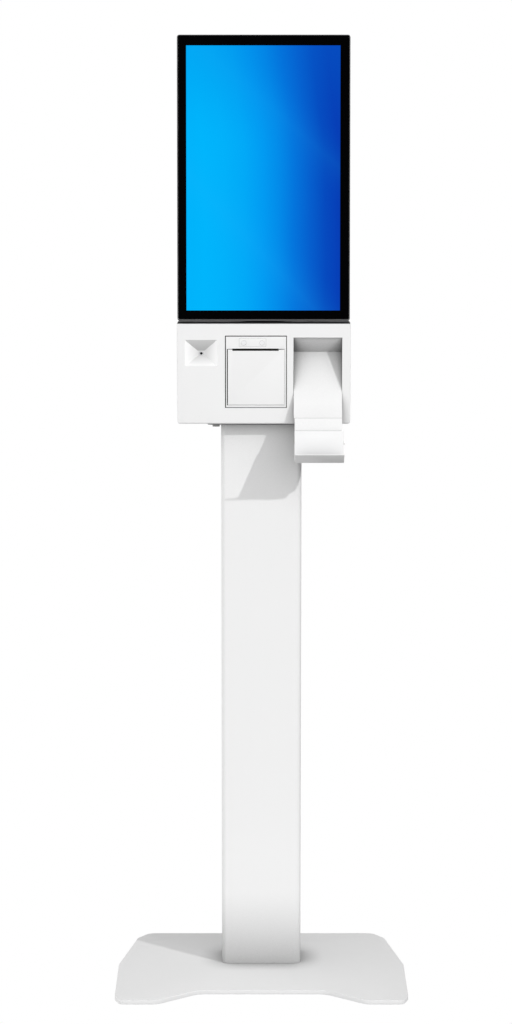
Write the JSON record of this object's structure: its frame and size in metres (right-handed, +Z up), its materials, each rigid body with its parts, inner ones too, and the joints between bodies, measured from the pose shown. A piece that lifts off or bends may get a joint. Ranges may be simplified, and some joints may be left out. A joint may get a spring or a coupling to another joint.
{
  "type": "touchscreen kiosk",
  "caption": "Floor-standing self-service touchscreen kiosk: base plate, slim column, cabinet with scanner funnel, receipt printer and payment-terminal ledge, tilted portrait display.",
  "frame": {"origin": "centre of the base plate outline, on the floor", "axes": "+Z up, +X to the right of a customer who faces the kiosk, +Y from the customer towards the back of the kiosk"},
  "size_m": [0.5378, 0.395, 1.7365],
  "materials": {
    "white_paint": "fine-textured powder coat, semi-matt white",
    "column_paint": "smooth powder coat, semi-matt white",
    "cabinet_paint": "smooth powder coat, semi-matt white",
    "zinc": "bright zinc plate",
    "steel": "plain rolled steel",
    "dark_steel": "dark grey e-coat",
    "chrome": "polished",
    "case_aluminium": "satin",
    "display_aluminium": "fine-blasted, grey anodised",
    "brass": "machined",
    "rubber": "matt black",
    "black_plastic": "fine spark-eroded texture",
    "black_gloss": "polished",
    "printer_plastic": "fine-textured white",
    "key_plastic": "satin white",
    "ring_plastic": "satin light grey",
    "nylon": "natural",
    "circuit_board": "solder-masked",
    "paper": "thermal paper",
    "lens_glass": "coated",
    "display_glass": "polished, black printed border",
    "lcd": "lit panel showing a plain blue gradient"
  },
  "bodies": {
    "stand": {"base_plate": "white_paint", "base_mat": "rubber", "column_tube": "column_paint", "column_screw_left": "zinc", "column_screw_right": "zinc", "column_top_flange": "dark_steel", "head_bolt_1": "zinc", "head_bolt_2": "zinc", "head_bolt_3": "zinc", "head_bolt_4": "zinc", "mains_inlet": "black_plastic", "mains_harness": "rubber", "cabinet_shell": "cabinet_paint", "recess_liner": "cabinet_paint", "terminal_chute": "cabinet_paint", "ledge_screw_left": "zinc", "ledge_screw_right": "zinc", "lens_ring": "ring_plastic", "scanner_lens": "lens_glass", "scanner_module": "black_plastic", "printer_frame": "printer_plastic", "printer_housing": "black_plastic", "lid_hinge_rod": "steel", "feed_motor": "steel", "printer_chassis": "steel", "thermal_head": "dark_steel", "cutter_drive": "steel", "button_plate": "printer_plastic", "button_board": "circuit_board", "door_pivot_rod": "steel", "equipment_plate": "steel", "power_supply": "case_aluminium", "computer_case": "case_aluminium", "fan_housing": "black_plastic", "neck_post": "dark_steel", "display_bracket": "dark_steel", "display_frame": "display_aluminium", "display_glass": "display_glass", "lcd_panel": "lcd", "display_driver_board": "circuit_board", "speaker_bar": "black_plastic", "display_rear_cover": "black_plastic", "display_cable": "rubber"},
    "lid": {"printer_lid": "printer_plastic", "fixed_blade": "steel"},
    "platen": {"platen_roller": "rubber", "platen_gear": "nylon"},
    "idler": {"idler_gear": "nylon"},
    "pinion": {"motor_pinion": "brass"},
    "cutter": {"cutter_blade": "steel"},
    "roll": {"paper_roll": "paper"},
    "feed_key": {"feed_button": "key_plastic"},
    "open_key": {"open_button": "key_plastic"},
    "door": {"rear_door": "cabinet_paint", "lock_housing": "chrome"},
    "lock": {"lock_plug": "chrome", "lock_cam": "steel"},
    "fan": {"fan_rotor": "black_plastic"},
    "rocker": {"power_rocker": "black_gloss"},
    "ledge": {"terminal_ledge": "cabinet_paint"}
  },
  "joints": [
    {"name": "lid_hinge", "type": "hinge", "parent": "stand", "child": "lid", "pos_m": [-0.01, -0.0145, 1.074], "axis": [1, 0, 0], "range_deg": [0, 70]},
    {"name": "platen_spin", "type": "hinge", "parent": "lid", "child": "platen", "pos_m": [-0.0105, 0.001, 1.16], "axis": [1, 0, 0], "continuous": true},
    {"name": "idler_spin", "type": "hinge", "parent": "stand", "child": "idler", "pos_m": [0.037, 0.019, 1.16], "axis": [1, 0, 0], "continuous": true},
    {"name": "pinion_spin", "type": "hinge", "parent": "stand", "child": "pinion", "pos_m": [0.037, 0.03358, 1.16257], "axis": [1, 0, 0], "continuous": true},
    {"name": "cutter_slide", "type": "slide", "parent": "stand", "child": "cutter", "axis": [0, 0, -1], "range_m": [0, 0.0035]},
    {"name": "roll_spin", "type": "hinge", "parent": "stand", "child": "roll", "pos_m": [-0.0105, 0.042, 1.107], "axis": [1, 0, 0], "continuous": true},
    {"name": "feed_key_press", "type": "slide", "parent": "stand", "child": "feed_key", "axis": [0, 1, 0], "range_m": [0, 0.001]},
    {"name": "open_key_press", "type": "slide", "parent": "stand", "child": "open_key", "axis": [0, 1, 0], "range_m": [0, 0.001]},
    {"name": "door_hinge", "type": "hinge", "parent": "stand", "child": "door", "pos_m": [-0.1492, 0.1042, 1.1276], "axis": [0, 0, 1], "range_deg": [0, 110]},
    {"name": "lock_turn", "type": "hinge", "parent": "door", "child": "lock", "pos_m": [0.14, 0.1042, 1.128], "axis": [0, -1, 0], "range_deg": [0, 90]},
    {"name": "fan_spin", "type": "hinge", "parent": "stand", "child": "fan", "pos_m": [0.09, 0.045, 1.112], "axis": [0, 1, 0], "continuous": true},
    {"name": "rocker_tilt", "type": "hinge", "parent": "stand", "child": "rocker", "pos_m": [0, 0.0953, 0.1066], "axis": [1, 0, 0], "range_deg": [-8, 8]},
    {"name": "ledge_slide", "type": "slide", "parent": "stand", "child": "ledge", "axis": [0, -0.4505, -0.8928], "range_m": [0, 0.014]}
  ],
  "couplings": [
    {"joint": "idler_spin", "follows": "platen_spin", "ratio": -0.8},
    {"joint": "pinion_spin", "follows": "platen_spin", "ratio": 1.6667}
  ]
}
